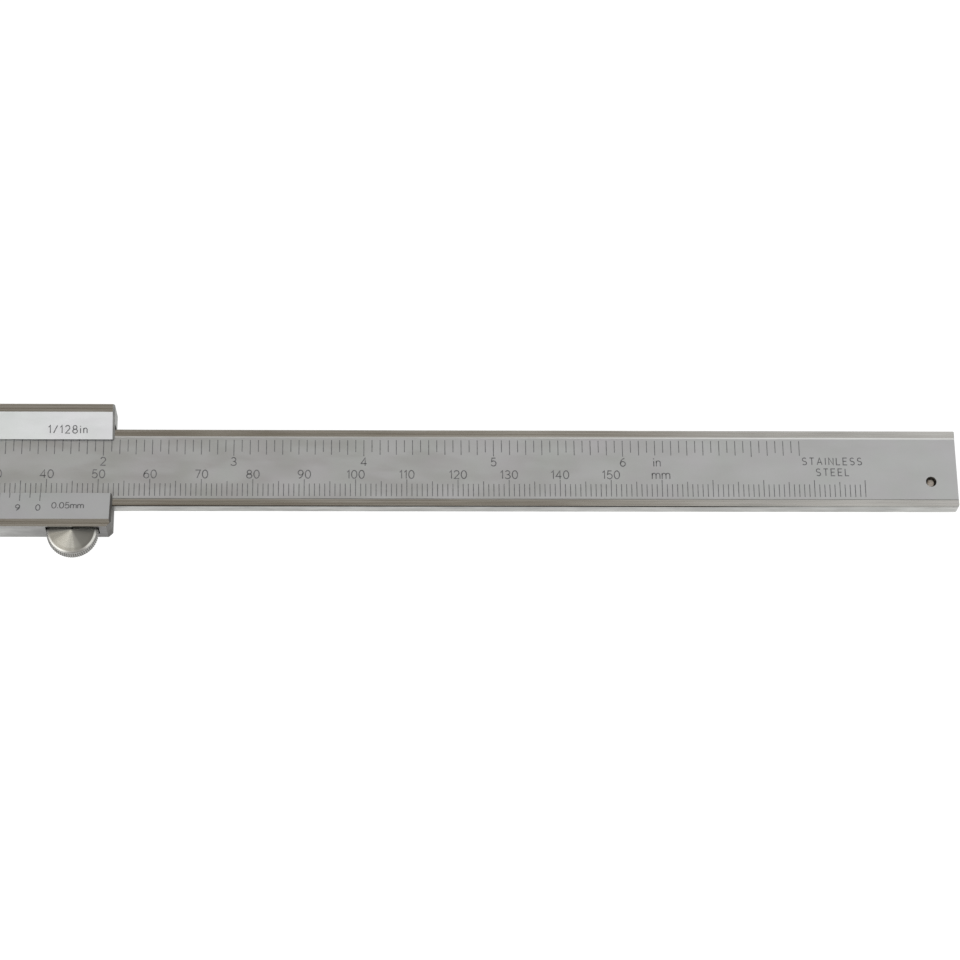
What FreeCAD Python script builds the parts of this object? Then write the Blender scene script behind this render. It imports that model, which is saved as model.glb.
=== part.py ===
import FreeCAD, Part
import os
import re
import Sketcher

# Vernier caliper, 150 mm / 6 in, with a thumb roller. Millimetres.
# X runs along the beam and reads the scale: x = 0 is the scale's zero mark.
# Y points from the beam's centreline to the inner jaws. Z points out of the scale face.
# z = 0 is the flat back of the slider, which the closed caliper lies on.

SIZES = {
    # beam
    "beam_wide": 16.0,
    "beam_thick": 3.0,
    "beam_back": 1.5,
    "beam_end": 218.3,
    "beam_corner": 0.5,
    "beam_corner_top": 0.15,
    "rail_wide": 1.45,
    "rail_high": 0.2,
    "rail_slope": 0.25,
    "rail_chamfer": 0.12,
    "scale_left": -3.0,
    # jaws
    "closing": -5.0,
    "head_wide": 13.0,
    "head_root": 2.0,
    "head_cut": 3.5,
    "head_round": 2.0,
    "jaw_overlap": 1.0,
    "jaw_reach": 40.0,
    "jaw_tip_wide": 3.2,
    "jaw_neck_wide": 9.5,
    "jaw_neck_drop": 13.0,
    "jaw_shoulder": 3.0,
    "jaw_round": 15.0,
    "jaw_bevel_tall": 14.0,
    "jaw_bevel_wide": 2.4,
    "jaw_bevel_deep": 1.0,
    "jaw_gap": 0.01,
    "corner_relief": 0.7,
    "horn_top": 24.9,
    "horn_start": 15.2,
    "horn_root": 9.0,
    "horn_spread": 4.4,
    "horn_tip": 0.5,
    "horn_bevel_wide": 1.5,
    "horn_bevel_deep": 1.2,
    "horn_gap": 0.02,
    "horn_lift": 0.15,
    "horn_overlap": 0.6,
    "horn_sweep": 1.2,
    # slider
    "slide_end": 52.9,
    "slide_top": 12.6,
    "slide_bottom": -12.9,
    "slide_front": 6.3,
    "slide_fit": 0.03,
    "guide_fit": 0.02,
    "gib_room": 1.2,
    "upper_land": 1.66,
    "lower_land": 1.53,
    "upper_edge": 5.76,
    "lower_edge": -5.44,
    "thin_edge": 0.22,
    "bridge_wide": 1.8,
    "end_chamfer": 0.9,
    "end_bevel": 0.4,
    "top_corner": 0.1,
    "back_round": 0.3,
    # thumb roller and its leaf spring
    "roller_along": 45.35,
    "roller_radius": 5.0,
    "roller_face": 5.05,
    "roller_back": 2.35,
    "roller_bore": 0.77,
    "roller_bore_deep": 2.2,
    "disc_radius": 4.7,
    "disc_rim": 4.6,
    "step_radius": 4.3,
    "step_low": 4.25,
    "step_high": 4.4,
    "rim_break": 0.2,
    "disc_bevel": 0.9,
    "disc_crown": 0.12,
    "slot_left": 40.3,
    "slot_right": 50.7,
    "slot_round": 0.5,
    "slot_high": 5.2,
    "slot_relief": 5.85,
    "slot_step": 2.0,
    "slot_fit": 0.15,
    "slot_shift": 0.08,
    "pin_radius": 0.74,
    "shoulder_radius": 1.3,
    "spring_left": 25.0,
    "spring_wide": 3.0,
    "spring_thick": 0.6,
    "spring_low": 0.6,
    "spring_ear": 2.2,
    "spring_edge": -12.2,
    "spring_gap": 0.1,
    "spring_room": 0.3,
    "spring_hole_deep": 2.8,
    "spring_screw_first": 2.0,
    "spring_screw_second": 7.0,
    "spring_past_pin": 1.0,
    "rivet_radius": 0.8,
    "rivet_head": 0.35,
    "shoulder_gap": 0.05,
    "pin_short": 0.1,
    # cover plate and depth rod
    "cover_left": 1.0,
    "cover_right": 49.0,
    "cover_low": -7.0,
    "cover_high": 8.0,
    "cover_thick": 0.5,
    "cover_inset": 3.0,
    "cover_rim": 2.5,
    "let_in_fit": 0.03,
    "rod_left": 3.0,
    "rod_low": 0.0,
    "rod_wide": 2.4,
    "rod_thick": 1.28,
    "rod_lift": 0.12,
    "rod_fit": 0.05,
    "rod_root": 10.0,
    "rod_notch": 0.7,
    "rod_room": 0.1,
    "rod_root_overlap": 0.2,
    "rivet_slim": 0.6,
    "rivet_hole": 0.61,
    "rivet_inset": 2.5,
    "rivet_long": 1.4,
    "groove_deep": 1.6,
    "groove_left": 0.5,
    # gib, its screws and the clamping screw
    "gib_left": -3.0,
    "gib_right": 50.0,
    "gib_thick": 1.0,
    "gib_wide": 2.5,
    "gib_lead": 0.3,
    "grub_radius": 1.0,
    "grub_left": 6.0,
    "grub_right": 38.0,
    "grub_sunk": 0.3,
    "grub_break": 0.1,
    "grub_point": 0.4,
    "grub_slot_deep": 0.7,
    "screw_gap": 0.02,
    "lock_along": 18.0,
    "lock_radius": 1.25,
    "lock_fit": 0.02,
    "lock_head_radius": 2.95,
    "lock_head_tall": 5.4,
    "lock_head_clear": 0.6,
    "lock_neck": 1.9,
    "lock_neck_gap": 0.15,
    "lock_head_break": 0.45,
    "pad_tall": 0.8,
    "pad_gap": 0.12,
    "pad_slim": 0.05,
    # small screws
    "small_radius": 0.78,
    "small_hole": 0.8,
    "small_head": 1.35,
    "flat_head": 1.2,
    "head_land": 0.04,
    "driver_slot": 0.35,
    "driver_deep": 0.22,
    "head_break": 0.12,
    "head_tall": 0.45,
    "shank_long": 2.95,
    "tip_break": 0.2,
    "head_sunk": 0.02,
    "flat_tip": 1.4,
    # stop plate on the back of the beam's end
    "stop_left": 208.0,
    "stop_right": 217.4,
    "stop_half": 6.5,
    "stop_thick": 1.5,
    "stop_along": 213.1,
    "stop_screw": -2.6,
    "stop_screw_radius": 1.0,
    "stop_hole": 1.05,
    "stop_head": 1.9,
    "stop_screw_tip": 3.5,
    "stop_pin": 4.8,
    "stop_pin_radius": 0.74,
    "stop_pin_hole": 1.5,
    "stop_pin_short": 0.1,
    "stop_corner": 0.8,
    "pin_fit": 0.01,
}

doc = FreeCAD.newDocument("VernierCaliper")
sheet = doc.addObject("Spreadsheet::Sheet", "Sizes")
for row, (alias, value) in enumerate(SIZES.items(), start=1):
    sheet.set(f"A{row}", alias)
    sheet.set(f"B{row}", str(value))
    sheet.setAlias(f"B{row}", alias)
doc.recompute()

SUBPARTS = []
SPRING_SCREW_PLACES = ("spring_left + spring_screw_first", "spring_left + spring_screw_second")
ROLLER_CENTRE = "-beam_wide / 2 - guide_fit - roller_radius"


# ---------------------------------------------------------------- small tools


def formula(text):
    """A size formula with each alias written as a cell of the sheet."""
    return re.sub(r"[a-z][a-z_]+", lambda found: "Sizes." + found.group(), str(text))


def number(text):
    """The present value of a size formula."""
    return float(sheet.evalExpression(formula(text)))


def new_body(label):
    body = doc.addObject("PartDesign::Body", label)
    body.Label = label
    SUBPARTS.append(body)
    return body


def new_sketch(body, role, offset="0"):
    """A sketch on one of the body's own origin planes, moved along the plane's normal by offset."""
    plane = [item for item in body.Origin.OriginFeatures if item.Role == role][0]
    sketch = body.newObject("Sketcher::SketchObject", "Sketch")
    sketch.AttachmentSupport = [(plane, "")]
    sketch.MapMode = "FlatFace"
    sketch.setExpression("AttachmentOffset.Base.z", formula(offset))
    return sketch


def pin_point(sketch, geometry, end, across, up):
    """Fix a point of the sketch at two size formulas."""
    for kind, text in (("DistanceX", across), ("DistanceY", up)):
        index = sketch.addConstraint(Sketcher.Constraint(kind, -1, 1, geometry, end, number(text)))
        name = f"place_{index}"
        sketch.renameConstraint(index, name)
        sketch.setExpression("Constraints." + name, formula(text))


def draw_outline(sketch, points):
    """A closed outline of straight lines through points given as size formulas."""
    spots = [FreeCAD.Vector(number(across), number(up), 0) for across, up in points]
    first = sketch.GeometryCount
    count = len(points)
    for index in range(count):
        sketch.addGeometry(Part.LineSegment(spots[index], spots[(index + 1) % count]), False)
    for index in range(count):
        following = first + (index + 1) % count
        sketch.addConstraint(Sketcher.Constraint("Coincident", first + index, 2, following, 1))
    for index, (across, up) in enumerate(points):
        pin_point(sketch, first + index, 1, across, up)


def draw_box(sketch, left, right, low, high):
    draw_outline(sketch, [(left, low), (right, low), (right, high), (left, high)])


def draw_circle(sketch, across, up, radius):
    centre = FreeCAD.Vector(number(across), number(up), 0)
    circle = Part.Circle(centre, FreeCAD.Vector(0, 0, 1), number(radius))
    geometry = sketch.addGeometry(circle, False)
    pin_point(sketch, geometry, 3, across, up)
    index = sketch.addConstraint(Sketcher.Constraint("Radius", geometry, number(radius)))
    name = f"radius_{index}"
    sketch.renameConstraint(index, name)
    sketch.setExpression("Constraints." + name, formula(radius))


def pad(body, sketch, length):
    feature = body.newObject("PartDesign::Pad", "Pad")
    feature.Profile = sketch
    feature.setExpression("Length", formula(length))
    doc.recompute()
    return feature


def pocket(body, sketch, length):
    """Cut along the sketch's own normal over length, and make sure that something is cut."""
    before = body.Shape.Volume
    feature = body.newObject("PartDesign::Pocket", "Pocket")
    feature.Profile = sketch
    feature.Reversed = True
    feature.setExpression("Length", formula(length))
    doc.recompute()
    if body.Shape.Volume > before - 1e-4:
        raise RuntimeError(f"a pocket of {body.Label} cuts nothing")
    return feature


def cut_box(body, left, right, low, high, floor, tall):
    sketch = new_sketch(body, "XY_Plane", floor)
    draw_box(sketch, left, right, low, high)
    return pocket(body, sketch, tall)


def cut_round(body, across, up, radius, floor, tall):
    sketch = new_sketch(body, "XY_Plane", floor)
    draw_circle(sketch, across, up, radius)
    return pocket(body, sketch, tall)


def drill_along_y(body, along, height, radius, start, deep):
    """A hole along Y: the XZ plane's normal is -Y, so the sketch sits at -start and cuts towards -Y."""
    sketch = new_sketch(body, "XZ_Plane", f"-({start})")
    draw_circle(sketch, along, height, radius)
    return pocket(body, sketch, deep)


def turn(body, role, points, axis):
    """A solid of revolution: axis is the sketch's own horizontal (H_Axis) or vertical (V_Axis) line."""
    sketch = new_sketch(body, role)
    draw_outline(sketch, points)
    feature = body.newObject("PartDesign::Revolution", "Revolution")
    feature.Profile = sketch
    feature.ReferenceAxis = (sketch, [axis])
    feature.Angle = 360
    doc.recompute()
    return feature


def edges_where(body, test):
    """Names of the body's edges whose middle point passes the test."""
    names = []
    for index, edge in enumerate(body.Shape.Edges, start=1):
        middle = edge.valueAt((edge.FirstParameter + edge.LastParameter) / 2)
        ends = edge.BoundBox
        if test(middle, ends):
            names.append(f"Edge{index}")
    return names


def near(value, text):
    return abs(value - number(text)) < 1e-3


def upright_at(across, up):
    """A test for edges parallel to Z at a place given by size formulas."""
    def test(middle, ends):
        along_z = ends.ZLength > 0.05 and ends.XLength < 1e-3 and ends.YLength < 1e-3
        return along_z and near(middle.x, across) and near(middle.y, up)
    return test


def dress(body, kind, test, size):
    """A PartDesign Fillet or Chamfer on the edges that pass the test."""
    names = edges_where(body, test)
    if not names:
        raise RuntimeError(f"no edge of {body.Label} to dress")
    base = body.Tip
    feature = body.newObject("PartDesign::" + kind, kind)
    feature.Base = (base, names)
    feature.setExpression("Radius" if kind == "Fillet" else "Size", formula(size))
    doc.recompute()
    return feature


def move(body, across, up, height):
    """Place a sub-part that is drawn about its own axis."""
    body.setExpression("Placement.Base.x", formula(across))
    body.setExpression("Placement.Base.y", formula(up))
    body.setExpression("Placement.Base.z", formula(height))


# ---------------------------------------------------------------- jaws

def add_outer_jaw(body, side, face, top):
    """One outer jaw, tapering to its tip. side is -1 for the fixed jaw and 1 for the moving one."""
    sign = "-" if side < 0 else "+"
    shoulder = f"{face} {sign} (head_wide)"
    neck = f"{face} {sign} (jaw_neck_wide)"
    tip = f"{face} {sign} (jaw_tip_wide)"
    low = "-beam_wide / 2 - jaw_reach"
    sketch = new_sketch(body, "XY_Plane", "beam_back")
    outline = [
        (face, top),
        (face, low),
        (tip, low),
        (neck, "-beam_wide / 2 - jaw_neck_drop"),
        (shoulder, "-beam_wide / 2 - jaw_shoulder"),
        (shoulder, top),
    ]
    draw_outline(sketch, outline if side > 0 else outline[::-1])
    pad(body, sketch, "beam_thick")
    dress(body, "Fillet", upright_at(neck, "-beam_wide / 2 - jaw_neck_drop"), "jaw_round")


def cut_wedges(body, triangles, start, tall):
    """Cut triangles, drawn in X and Z, along -Y from y = start over the length tall."""
    sketch = new_sketch(body, "XZ_Plane", f"-({start})")
    for triangle in triangles:
        draw_outline(sketch, triangle)
    pocket(body, sketch, tall)


def bevel_outer_jaw(body, side, face):
    """Thin the lower part of the measuring face from both sides, so that it fits narrow grooves."""
    sign = "-" if side < 0 else "+"
    inner = f"{face} {sign} jaw_bevel_wide"
    back, front = "beam_back", "beam_back + beam_thick"
    cut_wedges(body, [
        [(face, front), (inner, front), (face, front + " - jaw_bevel_deep")],
        [(face, back), (inner, back), (face, back + " + jaw_bevel_deep")],
    ], "jaw_bevel_tall - beam_wide / 2 - jaw_reach", "jaw_bevel_tall")


def bevel_horn(body, side, face):
    """Grind the horn's measuring side to a knife edge, from its outer face inwards."""
    if side < 0:
        inner, outer, deeper = f"{face} + horn_bevel_wide", "beam_back", "beam_back + horn_bevel_deep"
    else:
        outer = "beam_back + beam_thick"
        inner, deeper = f"{face} - horn_bevel_wide", outer + " - horn_bevel_deep"
    triangle = [(face, outer), (inner, outer), (face, deeper)]
    cut_wedges(body, [triangle], "horn_top", "horn_top - horn_start")


def add_horn(body, side, face, floor):
    """One knife-edged inner jaw, half as thick as the beam, crossing over the closing plane."""
    sign, back = ("+", "-") if side < 0 else ("-", "+")
    sketch = new_sketch(body, "XY_Plane", floor)
    outline = [
        (f"{face} {back} horn_root", "slide_top - horn_overlap"),
        (face, "slide_top - horn_overlap"),
        (face, "slide_top + horn_lift"),
        (f"{face} {sign} horn_spread", "slide_top + horn_lift"),
        (f"{face} {sign} horn_tip", "horn_top"),
        (face, "horn_top"),
        (face, "horn_start"),
        (f"{face} {back} horn_root * 0.5", "horn_start - horn_sweep"),
        (f"{face} {back} horn_root", "slide_top"),
    ]
    draw_outline(sketch, outline)
    pad(body, sketch, "beam_thick / 2 - horn_gap")


# ---------------------------------------------------------------- beam and its stop


def build_main_beam():
    body = new_body("main_beam")
    half = "beam_wide / 2"
    front = "beam_back + beam_thick"
    sketch = new_sketch(body, "XY_Plane", "beam_back")
    draw_outline(sketch, [
        ("closing - head_wide", "-beam_wide / 2 - head_root"),
        ("closing", "-beam_wide / 2 - head_root"),
        ("closing", "-beam_wide / 2"),
        ("beam_end", "-beam_wide / 2"),
        ("beam_end", half),
        ("closing", half),
        ("closing", "slide_top"),
        ("closing - head_wide + head_cut", "slide_top"),
        ("closing - head_wide", "slide_top - head_cut"),
    ])
    pad(body, sketch, "beam_thick")
    dress(body, "Fillet", upright_at("closing - head_wide + head_cut", "slide_top"), "head_round")
    dress(body, "Fillet", upright_at("closing - head_wide", "slide_top - head_cut"), "head_round")
    add_outer_jaw(body, -1, "closing", "-beam_wide / 2 - jaw_overlap")
    bevel_outer_jaw(body, -1, "closing")
    add_horn(body, -1, "closing", "beam_back")
    bevel_horn(body, -1, "closing")
    cut_round(body, "closing", "-beam_wide / 2", "corner_relief", "beam_back", "beam_thick")
    cut_round(body, "closing", half, "corner_relief", "beam_back", "beam_thick")
    recess = new_sketch(body, "YZ_Plane", "scale_left")
    draw_outline(recess, [
        ("rail_wide - beam_wide / 2", front),
        ("rail_wide - beam_wide / 2 + rail_slope", front + " - rail_high"),
        ("beam_wide / 2 - rail_wide - rail_slope", front + " - rail_high"),
        ("beam_wide / 2 - rail_wide", front),
    ])
    pocket(body, recess, "beam_end - scale_left")
    cut_box(body, "groove_left", "beam_end", "rod_low - rod_fit", "rod_low + rod_wide + rod_fit",
            "beam_back", "groove_deep")
    cut_round(body, "stop_along", "stop_screw", "stop_hole", "beam_back", "beam_thick")
    cut_round(body, "stop_along", "stop_pin", "stop_pin_radius + pin_fit", "beam_back", "stop_pin_hole")
    dress(body, "Fillet", upright_at("beam_end", "-beam_wide / 2"), "beam_corner")
    dress(body, "Fillet", upright_at("beam_end", half), "beam_corner_top")

    def long_edge(middle, ends):
        level = near(middle.z, front) or near(middle.z, "beam_back")
        return ends.XLength > 100 and level and near(abs(middle.y), half)

    dress(body, "Chamfer", long_edge, "rail_chamfer")
    return body


def build_stop_plate():
    body = new_body("stop_plate")
    sketch = new_sketch(body, "XY_Plane", "beam_back - stop_thick")
    draw_box(sketch, "stop_left", "stop_right", "-stop_half", "stop_half")
    pad(body, sketch, "stop_thick")
    floor = "beam_back - stop_thick"
    countersink(body, "stop_along", "stop_screw", floor, "stop_head", "stop_hole")
    cut_round(body, "stop_along", "stop_screw", "stop_hole", floor, "stop_thick")
    cut_round(body, "stop_along", "stop_pin", "stop_pin_radius + pin_fit", floor, "stop_thick")

    def corner(middle, ends):
        along_z = ends.ZLength > 0.5 and ends.XLength < 1e-3 and ends.YLength < 1e-3
        return along_z and near(abs(middle.y), "stop_half")

    dress(body, "Fillet", corner, "stop_corner")
    return body


def countersink(body, across, up, floor, head, narrow):
    """A 90 degree countersink, open towards -Z at height floor, a little wider than the screw's head."""
    wide = f"{head} + 2 * head_land"
    sketch = new_sketch(body, "XZ_Plane", f"-({up})")
    draw_outline(sketch, [
        (across, floor),
        (f"{across} + {wide}", floor),
        (f"{across} + {narrow}", f"{floor} + {wide} - {narrow}"),
        (across, f"{floor} + {wide} - {narrow}"),
    ])
    before = body.Shape.Volume
    feature = body.newObject("PartDesign::Groove", "Countersink")
    feature.Profile = sketch
    start = FreeCAD.Vector(number(across), number(floor) - 1, 0)
    line = sketch.addGeometry(Part.LineSegment(start, start + FreeCAD.Vector(0, 2, 0)), True)
    sketch.addConstraint(Sketcher.Constraint("Vertical", line))
    pin_point(sketch, line, 1, across, f"{floor} - 1")
    feature.ReferenceAxis = (sketch, ["Axis0"])
    feature.Angle = 360
    doc.recompute()
    if body.Shape.Volume > before - 1e-4:
        raise RuntimeError(f"a countersink of {body.Label} cuts nothing")


def build_countersunk_screw(label, across, up, floor, head, shank, tip):
    """A slotted countersunk screw that points along +Z. floor is its head's flat face."""
    body = new_body(label)
    turn(body, "XZ_Plane", [
        ("0", "0"),
        (head, "0"),
        (head, "head_land"),
        (shank, f"head_land + {head} - {shank}"),
        (shank, f"{tip} - ({floor}) - tip_break"),
        (f"{shank} - tip_break", f"{tip} - ({floor})"),
        ("0", f"{tip} - ({floor})"),
    ], "V_Axis")
    cut_box(body, f"-{head}", head, "-driver_slot / 2", "driver_slot / 2", "0", "driver_deep")
    move(body, across, up, floor)
    return body


def build_stop_plate_pin():
    pin = doc.addObject("Part::Cylinder", "stop_plate_pin")
    pin.Label = "stop_plate_pin"
    pin.setExpression("Radius", formula("stop_pin_radius"))
    pin.setExpression("Height", formula("stop_thick + stop_pin_hole - 2 * stop_pin_short"))
    move(pin, "stop_along", "stop_pin", "beam_back - stop_thick + stop_pin_short")
    SUBPARTS.append(pin)


# ---------------------------------------------------------------- slider


def build_slider_body():
    body = new_body("slider_body")
    face = "closing + jaw_gap"
    front = "beam_back + beam_thick"
    half = "beam_wide / 2"
    sketch = new_sketch(body, "YZ_Plane", face)
    draw_outline(sketch, [
        ("slide_bottom", "0"),
        ("slide_top", "0"),
        ("slide_top", "slide_front"),
        ("slide_top - upper_land", "slide_front"),
        ("upper_edge", front + " + slide_fit + thin_edge"),
        ("upper_edge", front + " + slide_fit"),
        (half + " + gib_room", front + " + slide_fit"),
        (half + " + gib_room", "beam_back - slide_fit"),
        ("-beam_wide / 2 - guide_fit", "beam_back - slide_fit"),
        ("-beam_wide / 2 - guide_fit", front + " + slide_fit"),
        ("lower_edge", front + " + slide_fit"),
        ("lower_edge", front + " + slide_fit + thin_edge"),
        ("slide_bottom + lower_land", "slide_front"),
        ("slide_bottom", "slide_front"),
    ])
    pad(body, sketch, f"slide_end - ({face})")
    bridge = new_sketch(body, "XY_Plane", front + " + slide_fit")
    draw_box(bridge, face, f"{face} + bridge_wide", "slide_bottom", "slide_top")
    pad(body, bridge, "slide_front - beam_back - beam_thick - slide_fit")
    add_outer_jaw(body, 1, face, "-beam_wide / 2 - jaw_overlap")
    bevel_outer_jaw(body, 1, face)
    add_horn(body, 1, face, "beam_back + beam_thick / 2 + horn_gap")
    bevel_horn(body, 1, face)

    # round pocket for the roller in the lower wall, open to the bottom, its relief, and notches for the pin
    # and the spring's ear
    low = "slide_bottom - 1"
    cut_round(body, "roller_along + slot_shift", ROLLER_CENTRE, "roller_radius + slot_fit",
              "roller_back - slot_fit", "slot_high - roller_back + slot_fit")
    cut_round(body, "roller_along", ROLLER_CENTRE, "shoulder_radius + spring_room", "0", "roller_back")
    cut_round(body, "roller_along", ROLLER_CENTRE, "spring_ear + spring_room", "0", "spring_low + spring_thick")
    cut_box(body, "slot_left", "slot_right", low, "slide_bottom + slot_step",
            "slot_high", "slot_relief - slot_high")

    # seat of the leaf spring, in the back of the lower wall, with two blind screw holes
    seat = "spring_low + spring_thick"
    cut_box(body, "spring_left - spring_room", "roller_along + spring_past_pin + spring_room",
            "spring_edge - spring_gap", "spring_edge + spring_wide + spring_room", "0", seat)
    for along in SPRING_SCREW_PLACES:
        cut_round(body, along, "spring_edge + spring_wide / 2", "small_hole", seat, "spring_hole_deep")

    # recess of the cover plate, slot for the depth rod's root, screw holes of the cover plate
    cut_box(body, "cover_left - let_in_fit", "cover_right + let_in_fit", "cover_low - let_in_fit",
            "cover_high + let_in_fit", "0", "cover_thick")
    cut_box(body, "rod_left - rod_room", "rod_left + rod_root + rod_room", "rod_low - rod_room",
            "rod_low + rod_wide + rod_room", "cover_thick", "beam_back - cover_thick")
    for along, up in cover_screw_places():
        cut_round(body, along, up, "small_hole", "cover_thick", "beam_back - slide_fit - cover_thick")

    # threaded holes through the upper wall
    middle = "beam_back + beam_thick / 2"
    wall = "slide_top - beam_wide / 2 - gib_room"
    for along in ("grub_left", "grub_right"):
        drill_along_y(body, along, middle, "grub_radius + lock_fit", "slide_top", wall)
    drill_along_y(body, "lock_along", middle, "lock_radius + lock_fit", "slide_top", wall)

    def slot_corner(middle_point, ends):
        along_y = ends.YLength > 1 and ends.XLength < 1e-3 and ends.ZLength < 1e-3
        return along_y and near(middle_point.x, "slot_right") and near(middle_point.z, "slot_relief")

    dress(body, "Fillet", slot_corner, "slot_round")
    dress(body, "Chamfer", upright_at("slide_end", "slide_bottom"), "end_chamfer")
    dress(body, "Chamfer", upright_at("slide_end", "slide_top"), "top_corner")

    def back_rim(middle_point, ends):
        outer = near(middle_point.y, "slide_top") or near(middle_point.y, "slide_bottom")
        return outer and near(middle_point.z, "0") and ends.XLength > 1

    dress(body, "Fillet", back_rim, "back_round")

    def front_end(middle_point, ends):
        in_front = middle_point.z > number("(slide_front + beam_back + beam_thick) / 2 - end_bevel / 2")
        return in_front and middle_point.x > number("slide_end - end_chamfer") and ends.XLength < 1 < ends.YLength

    dress(body, "Chamfer", front_end, "end_bevel")
    return body


def cover_screw_places():
    left, right = "cover_left + cover_inset", "cover_right - cover_inset"
    low, high = "cover_low + cover_rim", "cover_high - cover_rim"
    return [(left, low), (left, high), (right, low), (right, high)]


def rod_rivet_places():
    middle = "rod_low + rod_wide / 2"
    return [("rod_left + rivet_inset", middle), ("rod_left + rod_root - rivet_inset", middle)]


def build_back_plate():
    body = new_body("back_plate")
    sketch = new_sketch(body, "XY_Plane")
    draw_box(sketch, "cover_left", "cover_right", "cover_low", "cover_high")
    pad(body, sketch, "cover_thick")
    for along, up in cover_screw_places():
        countersink(body, along, up, "0", "flat_head", "small_hole")
        cut_round(body, along, up, "small_hole", "0", "cover_thick")
    for along, up in rod_rivet_places():
        cut_round(body, along, up, "rivet_hole", "0", "cover_thick")
    return body


def build_depth_rod():
    body = new_body("depth_rod")
    rod = new_sketch(body, "XY_Plane", "beam_back + rod_lift")
    high = "rod_low + rod_wide"
    draw_outline(rod, [
        ("rod_left", "rod_low"),
        ("beam_end - rod_notch * 3", "rod_low"),
        ("beam_end", "rod_low + rod_notch"),
        ("beam_end", high),
        ("rod_left", high),
    ])
    pad(body, rod, "rod_thick")
    root = new_sketch(body, "XY_Plane", "cover_thick")
    draw_box(root, "rod_left", "rod_left + rod_root", "rod_low", high)
    pad(body, root, "beam_back + rod_lift - cover_thick + rod_root_overlap")
    for along, up in rod_rivet_places():
        cut_round(body, along, up, "rivet_hole", "cover_thick", "beam_back")
    return body


def build_rod_rivet(label, along, up):
    rivet = doc.addObject("Part::Cylinder", label)
    rivet.Label = label
    rivet.setExpression("Radius", formula("rivet_slim"))
    rivet.setExpression("Height", formula("cover_thick + rivet_long"))
    move(rivet, along, up, "head_sunk")
    SUBPARTS.append(rivet)


def build_gib_strip():
    body = new_body("gib_strip")
    sketch = new_sketch(body, "XY_Plane", "beam_back + (beam_thick - gib_wide) / 2")
    low = "beam_wide / 2 + guide_fit"
    draw_outline(sketch, [
        ("gib_left", low),
        ("gib_right", low),
        ("gib_right", f"{low} + gib_thick - gib_lead"),
        ("gib_right - 2 * gib_lead", f"{low} + gib_thick"),
        ("gib_left + 2 * gib_lead", f"{low} + gib_thick"),
        ("gib_left", f"{low} + gib_thick - gib_lead"),
    ])
    pad(body, sketch, "gib_wide")
    return body


def build_gib_screw(label, along):
    """A slotted set screw drawn along -Z and laid along -Y, its flat tip on the gib."""
    body = new_body(label)
    tip = "slide_top - grub_sunk - (beam_wide / 2 + guide_fit + gib_thick + screw_gap)"
    turn(body, "XY_Plane", [
        ("0", "0"),
        ("grub_radius - grub_break", "0"),
        ("grub_radius", "-grub_break"),
        ("grub_radius", f"-({tip}) + grub_point"),
        ("grub_radius - grub_point", f"-({tip})"),
        ("0", f"-({tip})"),
    ], "V_Axis")
    slot = new_sketch(body, "XZ_Plane", "0")
    draw_box(slot, "-grub_radius", "grub_radius", "-driver_slot / 2", "driver_slot / 2")
    pocket(body, slot, "grub_slot_deep")
    move(body, along, "slide_top - grub_sunk", "beam_back + beam_thick / 2")
    return body


def build_lock_pad():
    pad_disc = doc.addObject("Part::Cylinder", "lock_pad")
    pad_disc.Label = "lock_pad"
    pad_disc.setExpression("Radius", formula("lock_radius - pad_slim"))
    pad_disc.setExpression("Height", formula("pad_tall"))
    pad_disc.Placement = FreeCAD.Placement(FreeCAD.Vector(), FreeCAD.Rotation(FreeCAD.Vector(1, 0, 0), -90))
    outer_face = "beam_wide / 2 + guide_fit + gib_thick"
    move(pad_disc, "lock_along", outer_face + " + pad_gap", "beam_back + beam_thick / 2")
    SUBPARTS.append(pad_disc)


def build_lock_screw():
    """The clamping screw: threaded shank, relieved neck, knurled head with turned edges."""
    body = new_body("lock_screw")
    tip = "beam_wide / 2 + guide_fit + gib_thick + pad_gap + pad_tall + screw_gap"
    head = "slide_top + lock_head_clear"
    turn(body, "XY_Plane", [
        ("0", tip),
        ("lock_radius - tip_break", tip),
        ("lock_radius", f"{tip} + tip_break"),
        ("lock_radius", "slide_top + lock_neck_gap"),
        ("lock_neck", "slide_top + lock_neck_gap"),
        ("lock_neck", head),
        ("lock_head_radius - lock_head_break", head),
        ("lock_head_radius", f"{head} + lock_head_break"),
        ("lock_head_radius", f"{head} + lock_head_tall - lock_head_break"),
        ("lock_head_radius - lock_head_break", f"{head} + lock_head_tall"),
        ("0", f"{head} + lock_head_tall"),
    ], "V_Axis")
    move(body, "lock_along", "0", "beam_back + beam_thick / 2")
    return body


# ---------------------------------------------------------------- thumb roller


def build_thumb_roller():
    """The roller: rim, stepped neck, bevelled front disc, blind bore for the pin."""
    body = new_body("thumb_roller")
    turn(body, "XZ_Plane", [
        ("roller_bore", "roller_back"),
        ("roller_radius - rim_break", "roller_back"),
        ("roller_radius", "roller_back + rim_break"),
        ("roller_radius", "step_low - rim_break"),
        ("roller_radius - rim_break", "step_low"),
        ("step_radius", "step_low"),
        ("step_radius", "step_high"),
        ("disc_radius", "step_high"),
        ("disc_radius", "disc_rim"),
        ("disc_radius - disc_bevel", "roller_face - disc_crown"),
        ("0", "roller_face"),
        ("0", "roller_back + roller_bore_deep"),
        ("roller_bore", "roller_back + roller_bore_deep"),
    ], "V_Axis")
    move(body, "roller_along", ROLLER_CENTRE, "0")
    return body


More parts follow.
